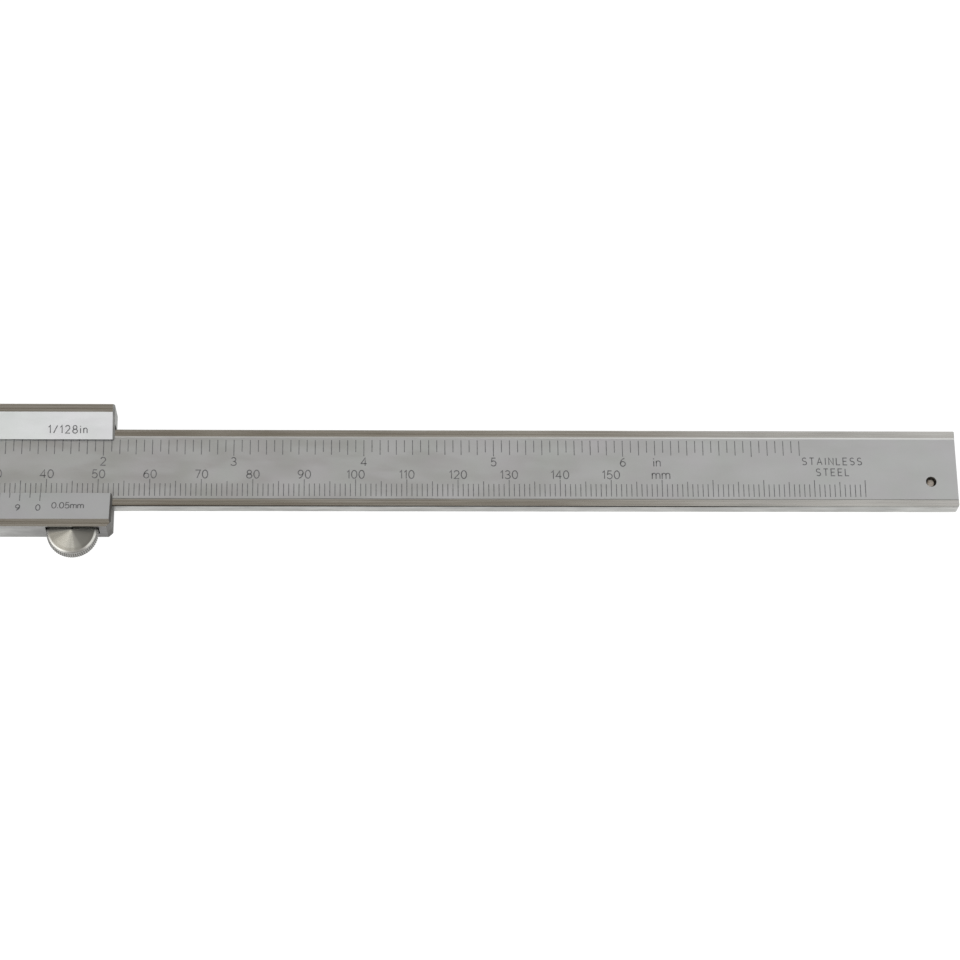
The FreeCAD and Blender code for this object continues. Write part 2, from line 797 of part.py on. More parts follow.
def build_roller_pin():
    """Shouldered pin, riveted into the leaf spring."""
    body = new_body("roller_pin")
    leaf_top = "spring_low + spring_thick"
    turn(body, "XZ_Plane", [
        ("0", "spring_low - rivet_head"),
        ("rivet_radius + tip_break", "spring_low - rivet_head"),
        ("rivet_radius + 2 * tip_break", "spring_low - rivet_head + tip_break"),
        ("rivet_radius + 2 * tip_break", "spring_low"),
        ("rivet_radius - pin_fit", "spring_low"),
        ("rivet_radius - pin_fit", leaf_top),
        ("shoulder_radius", leaf_top),
        ("shoulder_radius", "roller_back - shoulder_gap"),
        ("pin_radius", "roller_back - shoulder_gap"),
        ("pin_radius", "roller_back + roller_bore_deep - pin_short - tip_break"),
        ("pin_radius - tip_break", "roller_back + roller_bore_deep - pin_short"),
        ("0", "roller_back + roller_bore_deep - pin_short"),
    ], "V_Axis")
    move(body, "roller_along", ROLLER_CENTRE, "0")
    return body


def build_roller_spring():
    """Leaf spring: a strip screwed down at its left end, with a round ear that carries the pin."""
    body = new_body("roller_spring")
    strip = new_sketch(body, "XY_Plane", "spring_low")
    draw_box(strip, "spring_left", "roller_along + spring_past_pin",
             "spring_edge", "spring_edge + spring_wide")
    pad(body, strip, "spring_thick")
    ear = new_sketch(body, "XY_Plane", "spring_low")
    draw_circle(ear, "roller_along", ROLLER_CENTRE, "spring_ear")
    pad(body, ear, "spring_thick")
    cut_round(body, "roller_along", ROLLER_CENTRE, "rivet_radius",
              "spring_low", "spring_thick")
    for along in SPRING_SCREW_PLACES:
        cut_round(body, along, "spring_edge + spring_wide / 2", "small_hole", "spring_low", "spring_thick")
    return body


def build_spring_screw(label, along):
    """A slotted cheese-head screw that points along +Z."""
    body = new_body(label)
    turn(body, "XZ_Plane", [
        ("0", "0"),
        ("small_head - head_break", "0"),
        ("small_head", "head_break"),
        ("small_head", "head_tall"),
        ("small_radius", "head_tall"),
        ("small_radius", "head_tall + shank_long - tip_break"),
        ("small_radius - tip_break", "head_tall + shank_long"),
        ("0", "head_tall + shank_long"),
    ], "V_Axis")
    cut_box(body, "-small_head", "small_head", "-driver_slot / 2", "driver_slot / 2", "0", "driver_deep")
    move(body, along, "spring_edge + spring_wide / 2", "spring_low - head_tall")
    return body


# ---------------------------------------------------------------- build and write

build_main_beam()
build_stop_plate()
build_countersunk_screw("stop_plate_screw", "stop_along", "stop_screw", "beam_back - stop_thick + head_sunk",
                        "stop_head", "stop_screw_radius", "stop_screw_tip")
build_stop_plate_pin()
build_slider_body()
build_back_plate()
for place, (along, up) in enumerate(cover_screw_places(), start=1):
    label = f"back_plate_screw_{place}"
    build_countersunk_screw(label, along, up, "head_sunk", "flat_head", "small_radius", "flat_tip")
build_depth_rod()
for place, (along, up) in enumerate(rod_rivet_places(), start=1):
    build_rod_rivet(f"depth_rod_rivet_{place}", along, up)
build_gib_strip()
build_gib_screw("gib_screw_left", "grub_left")
build_gib_screw("gib_screw_right", "grub_right")
build_lock_pad()
build_lock_screw()
build_roller_spring()
build_roller_pin()
build_thumb_roller()
for place, along in enumerate(SPRING_SCREW_PLACES, start=1):
    build_spring_screw(f"roller_spring_screw_{place}", along)

doc.recompute()
for item in doc.Objects:
    if "Invalid" in item.State or "Error" in item.State:
        raise RuntimeError(f"{item.Label} did not rebuild: {item.State}")

os.makedirs("parts", exist_ok=True)
for item in SUBPARTS:
    shape = item.Shape
    if shape.isNull() or not shape.isValid():
        raise RuntimeError(f"{item.Label} has no valid shape")
    shape.exportStep(f"parts/{item.Label}.step")
    box = shape.BoundBox
    print(f"{item.Label:24s} {len(shape.Solids)} solid, {shape.Volume:9.2f} mm3, x {box.XMin:.2f} {box.XMax:.2f}, "
          f"y {box.YMin:.2f} {box.YMax:.2f}, z {box.ZMin:.2f} {box.ZMax:.2f}")
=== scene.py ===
import math

import bpy
from mathutils import Matrix, Vector


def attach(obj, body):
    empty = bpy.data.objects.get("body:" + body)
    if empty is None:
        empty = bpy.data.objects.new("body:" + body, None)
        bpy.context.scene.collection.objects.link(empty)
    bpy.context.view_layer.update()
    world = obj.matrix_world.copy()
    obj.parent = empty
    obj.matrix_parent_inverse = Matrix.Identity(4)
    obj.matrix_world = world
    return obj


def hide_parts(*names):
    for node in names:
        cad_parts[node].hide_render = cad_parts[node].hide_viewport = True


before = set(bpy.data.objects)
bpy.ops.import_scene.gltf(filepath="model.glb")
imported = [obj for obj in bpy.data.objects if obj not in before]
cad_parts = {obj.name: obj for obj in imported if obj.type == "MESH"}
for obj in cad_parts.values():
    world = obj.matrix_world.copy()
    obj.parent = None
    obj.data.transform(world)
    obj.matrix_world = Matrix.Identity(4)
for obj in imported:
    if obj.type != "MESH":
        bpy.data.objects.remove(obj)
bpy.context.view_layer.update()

# Lengths below are millimetres in the frame of the CAD model: X reads the scale, Y = 0 is the beam's
# centreline, Z = 0 is the flat back of the slider. MM turns them into Blender's metres.
MM = 0.001

# ---------------------------------------------------------------- driving dimensions

SCALE_FACE = 4.3
RAIL_FACE = 4.5
SLIDER_FRONT = 6.3
LOWER_EDGE, LOWER_CREST = Vector((-5.44, 4.75)), Vector((-11.37, SLIDER_FRONT))
UPPER_EDGE, UPPER_CREST = Vector((5.76, 4.75)), Vector((10.94, SLIDER_FRONT))

MARK_WIDE = 0.15
NUMERAL_WIDE = 0.2
MARK_PROUD = 0.012
MARK_SUNK = 0.02
INCH = 25.4

ROLLER_X, ROLLER_Y, ROLLER_RADIUS = 45.35, -13.02, 5.0
ROLLER_BACK, ROLLER_FACE = 2.35, 5.05
ROLLER_TEETH = 72
KNURL_DEEP = 0.13
RIM_TOP, GROOVE_FLOOR, GROOVE_TOP, GROOVE_RADIUS = 4.0, 4.18, 4.26, 4.4
DISC_RADIUS, DISC_BEVEL, DISC_LOW, DISC_SHOULDER = 4.68, 0.45, 4.36, 4.6
BORE_RADIUS, BORE_DEEP = 0.77, 2.2
# Turns that place the roller's painted highlights on its face and on its rounded edge.
HIGHLIGHT_TURN, EDGE_HIGHLIGHT_TURN = math.radians(250), math.radians(-54)

LOCK_X, LOCK_Z = 18.0, 3.0
LOCK_TIP, LOCK_NECK_LOW, LOCK_NECK_HIGH, LOCK_TOP = 9.96, 12.75, 13.2, 18.6
LOCK_RADIUS, LOCK_NECK, LOCK_HEAD_RADIUS = 1.25, 1.9, 2.95
LOCK_TEETH, LOCK_KNURL_DEEP = 48, 0.14
LOCK_PITCH, LOCK_THREAD_DEEP = 0.45, 0.16

STOP_X, STOP_Y = 213.1, -2.6
STOP_SCREW_RADIUS, STOP_SCREW_HEAD = 1.0, 1.9
STOP_SCREW_LOW, STOP_SCREW_TIP = 0.02, 3.5
STOP_RECESS_RADIUS, STOP_RECESS_DEEP = 0.7, 0.25
STOP_PITCH, STOP_THREAD_DEEP = 0.4, 0.11

FLOOR_HALF, FLOOR_LEVEL = 6000, -0.03

# Angles in degrees: the step of a numeral's arc, and where shading breaks on knurled and on threaded pieces.
ARC_STEP, KNURL_SHARP, THREAD_SHARP = 18, 38, 30


# ---------------------------------------------------------------- materials

RAIL_DARK, RAIL_LIGHT = (0.42, 0.39, 0.34), (0.60, 0.58, 0.53)
# Painted reflection: the far tones make rails and sides paler towards the beam's free end, and the slope's
# two tones stand for its reflection, dark near the slider and pale far off.
RAIL_DARK_FAR_REFLECTION, RAIL_LIGHT_FAR_REFLECTION = (0.56, 0.55, 0.52), (0.74, 0.73, 0.70)
SLOPE_REFLECTION, SLOPE_REFLECTION_FAR = (0.36, 0.355, 0.34), (0.68, 0.68, 0.66)
SIDE_STEEL, SIDE_STEEL_FAR_REFLECTION = (0.41, 0.41, 0.395), (0.46, 0.46, 0.44)
# Painted shade: the darker tone of the slider's sides near the roller, and the dark tone of the end faces.
SIDE_STEEL_SHADED, END_SHADE_STEEL = (0.15, 0.147, 0.143), (0.17, 0.165, 0.155)
# The first tone is rubbed wear and partly a painted edge highlight; the last is painted shade along the lower
# rail's outer edge.
RUBBED_AND_HIGHLIGHT_STEEL, HAIRLINE, CHAMFER_SHADE = (0.72, 0.71, 0.69), (0.3, 0.29, 0.28), (0.03, 0.028, 0.025)


class Shader:
    """A material's node tree, with short ways to add nodes. Its coordinates are the piece's own, in mm."""

    def __init__(self, name):
        self.material = bpy.data.materials.new(name)
        self.material.use_nodes = True
        self.nodes = self.material.node_tree.nodes
        self.links = self.material.node_tree.links
        self.surface = self.nodes["Principled BSDF"]
        coordinates = self.nodes.new("ShaderNodeTexCoord")
        self.place = self.vector("MULTIPLY", coordinates.outputs["Object"], (1 / MM, 1 / MM, 1 / MM))
        self.x, self.y, self.z = self.split(self.place)
        self.facing_x, self.facing_y, self.facing_z = self.split(coordinates.outputs["Normal"])

    def feed(self, socket, value):
        if isinstance(value, bpy.types.NodeSocket):
            self.links.new(value, socket)
        else:
            socket.default_value = value

    def vector(self, operation, first, second):
        node = self.nodes.new("ShaderNodeVectorMath")
        node.operation = operation
        self.feed(node.inputs[0], first)
        self.feed(node.inputs[1], second)
        return node.outputs[0]

    def split(self, vector):
        node = self.nodes.new("ShaderNodeSeparateXYZ")
        self.feed(node.inputs[0], vector)
        return node.outputs[0], node.outputs[1], node.outputs[2]

    def math(self, operation, first, second=0.0, third=0.0):
        node = self.nodes.new("ShaderNodeMath")
        node.operation = operation
        for socket, value in zip(node.inputs, (first, second, third)):
            self.feed(socket, value)
        return node.outputs[0]

    def mix(self, factor, first, second):
        """Between two colours."""
        node = self.nodes.new("ShaderNodeMix")
        node.data_type = "RGBA"
        for name, value in (("Factor_Float", factor), ("A_Color", first), ("B_Color", second)):
            socket = [item for item in node.inputs if item.identifier == name][0]
            if isinstance(value, tuple):
                value = (*value, 1)
            self.feed(socket, value)
        return [item for item in node.outputs if item.identifier == "Result_Color"][0]

    def ease(self, value, low, high, start=0.0, end=1.0):
        """start below low, end above high, and smooth in between."""
        node = self.nodes.new("ShaderNodeMapRange")
        node.interpolation_type = "SMOOTHSTEP"
        for socket, item in zip(node.inputs, (value, low, high, start, end)):
            self.feed(socket, item)
        return node.outputs[0]

    def scaled(self, value, low, high):
        """A noise value, 0.3 to 0.7 in practice, spread over low to high."""
        return self.ease(value, 0.3, 0.7, low, high)

    def noise(self, size, detail=2.0, shift=0.0):
        """Noise with features of about size, one length or one for each axis, in mm."""
        sizes = size if isinstance(size, tuple) else (size, size, size)
        node = self.nodes.new("ShaderNodeTexNoise")
        moved = self.vector("ADD", self.place, (shift, shift, shift))
        self.feed(node.inputs["Vector"], self.vector("DIVIDE", moved, sizes))
        node.inputs["Scale"].default_value = 1
        node.inputs["Detail"].default_value = detail
        return node.outputs[0]

    def noise_along(self, value, scale):
        """Noise along one value."""
        node = self.nodes.new("ShaderNodeTexNoise")
        node.noise_dimensions = "1D"
        self.links.new(value, node.inputs["W"])
        node.inputs["Scale"].default_value = scale
        node.inputs["Detail"].default_value = 2
        return node.outputs[0]

    def edges(self, radius):
        """1 on sharp edges of the piece and 0 on its faces."""
        bevel = self.nodes.new("ShaderNodeBevel")
        bevel.samples = 4
        bevel.inputs["Radius"].default_value = radius * MM
        geometry = self.nodes.new("ShaderNodeNewGeometry")
        same = self.nodes.new("ShaderNodeVectorMath")
        same.operation = "DOT_PRODUCT"
        self.links.new(bevel.outputs[0], same.inputs[0])
        self.links.new(geometry.outputs["Normal"], same.inputs[1])
        return self.ease(same.outputs["Value"], 0.75, 0.98, 1.0, 0.0)

    def finish(self, look, metallic=1.0):
        """look is colour, roughness and height in mm."""
        colour, roughness, height = look
        self.feed(self.surface.inputs["Base Color"], colour)
        self.feed(self.surface.inputs["Roughness"], roughness)
        self.surface.inputs["Metallic"].default_value = metallic
        bump = self.nodes.new("ShaderNodeBump")
        bump.inputs["Distance"].default_value = MM
        self.links.new(height, bump.inputs["Height"])
        self.links.new(bump.outputs[0], self.surface.inputs["Normal"])
        return self.material


def satin(shader, pale=0.6):
    """Satin chrome, as on the scale faces: fine grit, faint green and violet clouds, and a paler haze."""
    cloud = shader.noise(7.0)
    cool = shader.mix(cloud, (pale * 0.93, pale * 1.0, pale * 0.94), (pale * 1.03, pale * 0.99, pale * 1.05))
    haze = shader.scaled(shader.noise((11.0, 5.0, 5.0), 3.0, 2.0), 0.0, 0.22)
    cool = shader.mix(haze, cool, (pale * 1.22, pale * 1.23, pale * 1.26))
    grit = shader.noise(0.12, 1.0)
    colour = shader.mix(shader.scaled(grit, 0.0, 0.25), cool, (pale * 0.85, pale * 0.85, pale * 0.85))
    roughness = shader.scaled(shader.noise((9.0, 3.0, 3.0)), 0.36, 0.44)
    return colour, roughness, shader.math("MULTIPLY", grit, 0.004)


def brushed(shader, dark, light, smooth=0.2):
    """Ground and brushed along X, with warm streaks."""
    streak = shader.noise((60.0, 0.22, 0.22), 3.0)
    hair = shader.noise((12.0, 0.05, 0.05), 1.0, 7.0)
    patch = shader.noise((16.0, 1.5, 1.5), 2.0, 3.0)
    tone = shader.math("MULTIPLY_ADD", patch, 0.5, shader.math("MULTIPLY", streak, 0.5))
    warm = shader.mix(shader.scaled(tone, 0.0, 1.0), dark, light)
    colour = shader.mix(shader.scaled(hair, 0.0, 0.25), warm, HAIRLINE)
    roughness = shader.scaled(streak, smooth, smooth + 0.12)
    height = shader.math("MULTIPLY_ADD", hair, 0.002, shader.math("MULTIPLY", streak, 0.004))
    return colour, roughness, height


def ground(shader, tone):
    """Surface-ground sides and ends: short scratches and a duller, greyer tone."""
    scratch = shader.noise((2.5, 0.06, 0.5), 2.0)
    patch = shader.noise((9.0, 2.2, 2.2), 3.0, 5.0)
    darker = shader.mix(0.28, tone, (0.0, 0.0, 0.0))
    colour = shader.mix(shader.scaled(patch, 0.0, 1.0), darker, tone)
    roughness = shader.scaled(scratch, 0.28, 0.42)
    height = shader.math("MULTIPLY_ADD", scratch, 0.005, shader.math("MULTIPLY", patch, 0.004))
    return colour, roughness, height


def either(shader, mask, first, second):
    """first where mask is 0 and second where it is 1."""
    colour = shader.mix(mask, first[0], second[0])
    parts = []
    for low, high in zip(first[1:], second[1:]):
        gap = shader.math("SUBTRACT", high, low)
        parts.append(shader.math("MULTIPLY_ADD", gap, mask, low))
    return (colour, *parts)


def worn(shader, look, radius=0.06):
    """Brighter, smoother metal along the edges that hands and work rub; the brighter colour is partly a
    painted edge highlight.
    """
    colour, roughness, height = look
    uneven = shader.scaled(shader.noise((3.0, 1.0, 1.0), 2.0, 9.0), 0.3, 0.8)
    # rubbed wear and painted edge highlight: edges brightened by an edge mask
    rub_and_highlight = shader.math("MULTIPLY", shader.edges(radius), uneven)
    brighter = shader.mix(rub_and_highlight, colour, RUBBED_AND_HIGHLIGHT_STEEL)
    smoother = shader.math("MULTIPLY_ADD", rub_and_highlight, -0.08, roughness)
    return brighter, smoother, height


def make_beam_steel():
    """Satin scale face, brushed rails and ground sides; the last two turn paler towards the free end as a
    painted reflection, and the end faces are darker as painted shade.
    """
    shader = Shader("beam_steel")
    flat = shader.ease(shader.facing_z, 0.97, 0.99)
    raised = shader.ease(shader.z, RAIL_FACE - 0.06, RAIL_FACE - 0.03)
    sunk = shader.math("SUBTRACT", shader.ease(shader.z, SCALE_FACE - 0.1, SCALE_FACE - 0.05), raised)
    end = shader.ease(shader.facing_x, 0.6, 0.9)
    # painted reflection: rails and sides turn paler towards the free end
    far_reflection = shader.ease(shader.x, 140.0, 185.0)
    side = shader.mix(far_reflection, SIDE_STEEL, SIDE_STEEL_FAR_REFLECTION)
    # painted shade: the beam's end faces darker than its sides
    side = shader.mix(end, side, END_SHADE_STEEL)
    rail_dark = shader.mix(far_reflection, RAIL_DARK, RAIL_DARK_FAR_REFLECTION)
    rail_light = shader.mix(far_reflection, RAIL_LIGHT, RAIL_LIGHT_FAR_REFLECTION)
    rails = brushed(shader, rail_dark, rail_light)
    look = either(shader, shader.math("MULTIPLY", flat, raised), ground(shader, side), rails)
    look = either(shader, shader.math("MULTIPLY", flat, sunk), look, satin(shader))
    colour, roughness, height = worn(shader, look)

    # the slope below the upper rail is polished, and its colour is a painted reflection, dark near the slider
    # and pale towards the free end; painted shade darkens the lower rail's outer edge, fading towards the
    # free end
    down = shader.ease(shader.facing_y, -0.35, -0.5)
    leaning = shader.math("MULTIPLY", down, shader.ease(shader.facing_z, 0.3, 0.5))
    upper = shader.ease(shader.y, -0.5, 0.5)
    slope_reflection = shader.mix(shader.ease(shader.x, 100.0, 200.0), SLOPE_REFLECTION, SLOPE_REFLECTION_FAR)
    # painted reflection on the slope below the upper rail
    colour = shader.mix(shader.math("MULTIPLY", leaning, upper), colour, slope_reflection)
    below_rail = shader.math("SUBTRACT", shader.ease(shader.y, -9.5, -9.0), upper)
    edge = shader.math("MULTIPLY", down, shader.ease(shader.z, RAIL_FACE - 0.38, RAIL_FACE - 0.25))
    chamfer_shade = shader.math("MULTIPLY", edge, shader.ease(shader.x, 165.0, 195.0, 1.0, 0.15))
    # painted shade: a dark line along the lower rail's outer edge
    colour = shader.mix(shader.math("MULTIPLY", chamfer_shade, below_rail), colour, CHAMFER_SHADE)
    return shader.finish((colour, roughness, height))


def make_slider_steel():
    """Satin vernier faces, brushed lands and ground sides with painted shade that deepens towards the free
    end and on the end faces.
    """
    shader = Shader("slider_steel")
    flat = shader.ease(shader.facing_z, 0.975, 0.99)
    raised = shader.ease(shader.z, RAIL_FACE - 0.06, RAIL_FACE - 0.03)
    sloped = shader.math("SUBTRACT", shader.ease(shader.facing_z, 0.92, 0.94), flat)
    above = shader.ease(shader.z, RAIL_FACE + 0.1, RAIL_FACE + 0.15)
    end = shader.ease(shader.facing_x, 0.5, 0.8)
    # painted shade: the sides darken towards the end by the roller
    near_end_shade = shader.ease(shader.x, 26.0, 48.0)
    side = shader.mix(near_end_shade, SIDE_STEEL, SIDE_STEEL_SHADED)
    # painted shade on the end faces, darkest on the lower plate's end
    end_shade_tone = shader.mix(shader.ease(shader.y, 0.0, 9.0), END_SHADE_STEEL, SIDE_STEEL)
    side = shader.mix(end, side, end_shade_tone)
    lands = brushed(shader, RAIL_DARK, RAIL_LIGHT)
    colour, roughness, height = ground(shader, side)
    sides = (colour, shader.math("MULTIPLY_ADD", end, 0.3, roughness), height)
    look = either(shader, shader.math("MULTIPLY", flat, raised), sides, lands)
    look = either(shader, shader.math("MULTIPLY", sloped, above), look, satin(shader, 0.62))
    return shader.finish(worn(shader, look))


def make_plain_steel(name, dark, light, smooth=0.25):
    """Brushed along X all over, for strips and plates."""
    shader = Shader(name)
    return shader.finish(worn(shader, brushed(shader, dark, light, smooth)))


def make_turned(name, dark, light, smooth):
    """Small turned parts: no lengthwise grain, slight tarnish."""
    shader = Shader(name)
    tarnish = shader.noise(0.9, 3.0)
    grit = shader.noise((0.35, 0.35, 0.07), 1.0, 4.0)
    colour = shader.mix(shader.scaled(tarnish, 0.0, 1.0), dark, light)
    roughness = shader.scaled(grit, smooth, smooth + 0.15)
    return shader.finish((colour, roughness, shader.math("MULTIPLY", grit, 0.004)))


def make_roller_steel():
    """Turned rings about the roller's own axis, with painted highlights in two sectors of its face and three
    of its edge, and painted shade between them.
    """
    shader = Shader("roller_steel")
    squares = shader.math("ADD", shader.math("POWER", shader.x, 2.0), shader.math("POWER", shader.y, 2.0))
    radius = shader.math("SQRT", squares)
    rings = shader.noise_along(radius, 9.0)
    turn = shader.math("ARCTAN2", shader.y, shader.x)
    # painted highlight and shade: bright and dark sectors of the face, by angle about the axis
    doubled = shader.math("MULTIPLY_ADD", turn, 2.0, HIGHLIGHT_TURN)
    highlight_streaks = shader.math("SUBTRACT", shader.noise_along(turn, 1.6), 0.5)
    painted_highlight = shader.math("MULTIPLY_ADD", highlight_streaks, 2.4, shader.math("COSINE", doubled))
    highlight_share = shader.ease(painted_highlight, -1.0, 1.3)
    face = shader.mix(highlight_share, (0.23, 0.225, 0.205), (0.93, 0.92, 0.84))
    edge = shader.ease(radius, DISC_RADIUS - DISC_BEVEL, DISC_RADIUS - DISC_BEVEL * 0.6)
    # painted highlight: three bright sectors on the rounded edge
    tripled = shader.math("MULTIPLY_ADD", turn, -3.0, EDGE_HIGHLIGHT_TURN)
    edge_highlight = shader.ease(shader.math("COSINE", tripled), -1.0, 0.6)
    rounding_highlight = shader.mix(edge_highlight, (0.28, 0.27, 0.25), (0.82, 0.81, 0.76))
    colour = shader.mix(edge, face, rounding_highlight)
    roughness = shader.math("MULTIPLY_ADD", highlight_share, -0.08, 0.3)
    tangent = shader.nodes.new("ShaderNodeTangent")
    tangent.direction_type = "RADIAL"
    tangent.axis = "Z"
    shader.links.new(tangent.outputs[0], shader.surface.inputs["Tangent"])
    shader.surface.inputs["Anisotropic"].default_value = 0.75
    return shader.finish((colour, roughness, shader.math("MULTIPLY", rings, 0.004)))


def make_knurled_steel(name, axis_y, radius, deep):
    """Knurling, darker in its valleys and paler on its ridges and ends; its axis is Y or Z."""
    shader = Shader(name)
    along = shader.z if axis_y else shader.y
    squares = shader.math("ADD", shader.math("POWER", shader.x, 2.0), shader.math("POWER", along, 2.0))
    reach = shader.math("SQRT", squares)
    grime = shader.noise(0.8, 3.0)
    grit = shader.noise(0.1, 1.0, 2.0)
    clean = shader.mix(shader.scaled(grime, 0.0, 1.0), (0.36, 0.355, 0.34), (0.48, 0.475, 0.46))
    ridge = shader.ease(reach, radius - deep, radius - 0.15 * deep)
    end = shader.ease(shader.math("ABSOLUTE", shader.facing_y if axis_y else shader.facing_z), 0.5, 0.8)
    colour = shader.mix(shader.math("MAXIMUM", ridge, end), (0.14, 0.135, 0.125), clean)
    shader.surface.inputs["Specular Tint"].default_value = (0.45, 0.45, 0.45, 1)
    return shader.finish((colour, shader.scaled(grit, 0.42, 0.55), shader.math("MULTIPLY", grit, 0.004)))


def make_mark_fill():
    """Dark fill of the engraved lines."""
    shader = Shader("mark_fill")
    thin = shader.noise(0.5, 3.0)
    colour = shader.mix(shader.scaled(thin, 0.0, 1.0), (0.09, 0.09, 0.095), (0.2, 0.2, 0.205))
    return shader.finish((colour, shader.scaled(thin, 0.5, 0.7), shader.math("MULTIPLY", thin, 0.004)), 0.2)


BEAM_STEEL = make_beam_steel()
SLIDER_STEEL = make_slider_steel()
PLATE_STEEL = make_plain_steel("plate_steel", (0.47, 0.46, 0.45), (0.62, 0.62, 0.61), 0.3)
ROD_STEEL = make_plain_steel("rod_steel", (0.45, 0.45, 0.45), (0.6, 0.6, 0.6))
SPRING_STEEL = make_plain_steel("spring_steel", (0.33, 0.28, 0.2), (0.46, 0.43, 0.38))
SCREW_STEEL = make_turned("screw_steel", (0.34, 0.29, 0.24), (0.56, 0.52, 0.47), 0.25)
GIB_BRONZE = make_plain_steel("gib_bronze", (0.52, 0.34, 0.17), (0.74, 0.55, 0.33))
PAD_BRASS = make_turned("pad_brass", (0.6, 0.42, 0.18), (0.82, 0.63, 0.34), 0.25)
ROLLER_STEEL = make_roller_steel()
# Painted shade: near-black metal in the roller's groove, where the gap under the disc is in shadow.
GROOVE_SHADE_STEEL = make_turned("groove_painted_shade", (0.05, 0.045, 0.04), (0.12, 0.11, 0.1), 0.4)
MARK_FILL = make_mark_fill()

NODE_MATERIALS = {
    "main_beam": BEAM_STEEL,
    "slider_body": SLIDER_STEEL,
    "stop_plate": PLATE_STEEL,
    "back_plate": PLATE_STEEL,
    "depth_rod": ROD_STEEL,
    "roller_spring": SPRING_STEEL,
    "gib_strip": GIB_BRONZE,
    "lock_pad": PAD_BRASS,
}
for name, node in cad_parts.items():
    node.data.materials.clear()
    node.data.materials.append(NODE_MATERIALS.get(name, SCREW_STEEL))


# ---------------------------------------------------------------- pieces


def add_piece(name, vertices, faces, materials, body, origin=(0, 0, 0)):
    """A mesh piece from vertices in mm, measured from origin."""
    mesh = bpy.data.meshes.new(name)
    mesh.from_pydata([tuple(Vector(point) * MM) for point in vertices], [], faces)
    for material in materials:
        mesh.materials.append(material)
    mesh.validate()
    piece = bpy.data.objects.new(name, mesh)
    piece.location = Vector(origin) * MM
    bpy.context.scene.collection.objects.link(piece)
    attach(piece, body)
    return piece


def round_off(piece, angle):
    """Smooth shading, broken where faces meet at more than angle."""
    for face in piece.data.polygons:
        face.use_smooth = True
    piece.data.set_sharp_from_angle(angle=math.radians(angle))


# ---------------------------------------------------------------- engraved scales


def arc(across, up, wide, tall, start, end):
    """Points of an elliptical arc, with angles in degrees."""
    steps = max(3, round(abs(end - start) / ARC_STEP))
    turns = [math.radians(start + (end - start) * step / steps) for step in range(steps + 1)]
    return [(across + wide * math.cos(turn), up + tall * math.sin(turn)) for turn in turns]


# Each character: its width, then its strokes, all in units of its height.
GLYPHS = {
    "0": (0.62, [arc(0.31, 0.5, 0.31, 0.5, 90, 450)]),
    "1": (0.3, [[(0.02, 0.76), (0.24, 1.0), (0.24, 0.0)]]),
    "2": (0.6, [arc(0.3, 0.71, 0.28, 0.29, 165, -38) + [(0.02, 0.0), (0.6, 0.0)]]),
    "3": (0.6, [arc(0.28, 0.75, 0.26, 0.25, 155, -90) + arc(0.28, 0.25, 0.31, 0.25, 90, -155)[1:]]),
    "4": (0.64, [[(0.47, 0.0), (0.47, 1.0), (0.0, 0.27), (0.64, 0.27)]]),
    "5": (0.6, [[(0.54, 1.0), (0.12, 1.0), (0.06, 0.53)] + arc(0.29, 0.32, 0.3, 0.32, 135, -155)]),
    "6": (0.6, [arc(0.3, 0.3, 0.29, 0.3, 90, 450), arc(0.62, 0.3, 0.61, 0.72, 102, 178)]),
    "7": (0.58, [[(0.0, 1.0), (0.58, 1.0), (0.2, 0.0)]]),
    "8": (0.6, [arc(0.3, 0.75, 0.24, 0.25, -90, 270), arc(0.3, 0.26, 0.3, 0.26, 90, 450)]),
    "9": (0.6, [arc(0.3, 0.7, 0.29, 0.3, 90, 450), arc(-0.02, 0.7, 0.61, 0.72, -78, -2)]),
    ".": (0.1, [[(0.05, 0.0), (0.05, 0.12)]]),
    "/": (0.5, [[(0.0, 0.0), (0.5, 1.0)]]),
    "m": (0.84, [
        [(0.0, 0.0), (0.0, 0.66)],
        arc(0.21, 0.44, 0.21, 0.22, 180, 0) + [(0.42, 0.0)],
        arc(0.63, 0.44, 0.21, 0.22, 180, 0) + [(0.84, 0.0)],
    ]),
    "i": (0.1, [[(0.05, 0.0), (0.05, 0.66)], [(0.05, 0.84), (0.05, 0.96)]]),
    "n": (0.44, [[(0.0, 0.0), (0.0, 0.66)], arc(0.22, 0.44, 0.22, 0.22, 180, 0) + [(0.44, 0.0)]]),
    "A": (0.66, [[(0.0, 0.0), (0.33, 1.0), (0.66, 0.0)], [(0.12, 0.34), (0.54, 0.34)]]),
    "E": (0.54, [[(0.54, 0.0), (0.0, 0.0), (0.0, 1.0), (0.54, 1.0)], [(0.0, 0.52), (0.46, 0.52)]]),
    "I": (0.1, [[(0.05, 0.0), (0.05, 1.0)]]),
    "L": (0.5, [[(0.0, 1.0), (0.0, 0.0), (0.5, 0.0)]]),
    "N": (0.6, [[(0.0, 0.0), (0.0, 1.0), (0.6, 0.0), (0.6, 1.0)]]),
    "S": (0.58, [arc(0.29, 0.75, 0.26, 0.25, 35, 270) + arc(0.29, 0.25, 0.28, 0.25, 90, -145)[1:]]),
    "T": (0.6, [[(0.0, 1.0), (0.6, 1.0)], [(0.3, 1.0), (0.3, 0.0)]]),
}
LETTER_GAP = 0.24


def text_width(text, tall, gap=LETTER_GAP):
    """From the first letter's left to the last one's right; gap is a share of the height."""
    return (sum(GLYPHS[letter][0] for letter in text) + gap * (len(text) - 1)) * tall


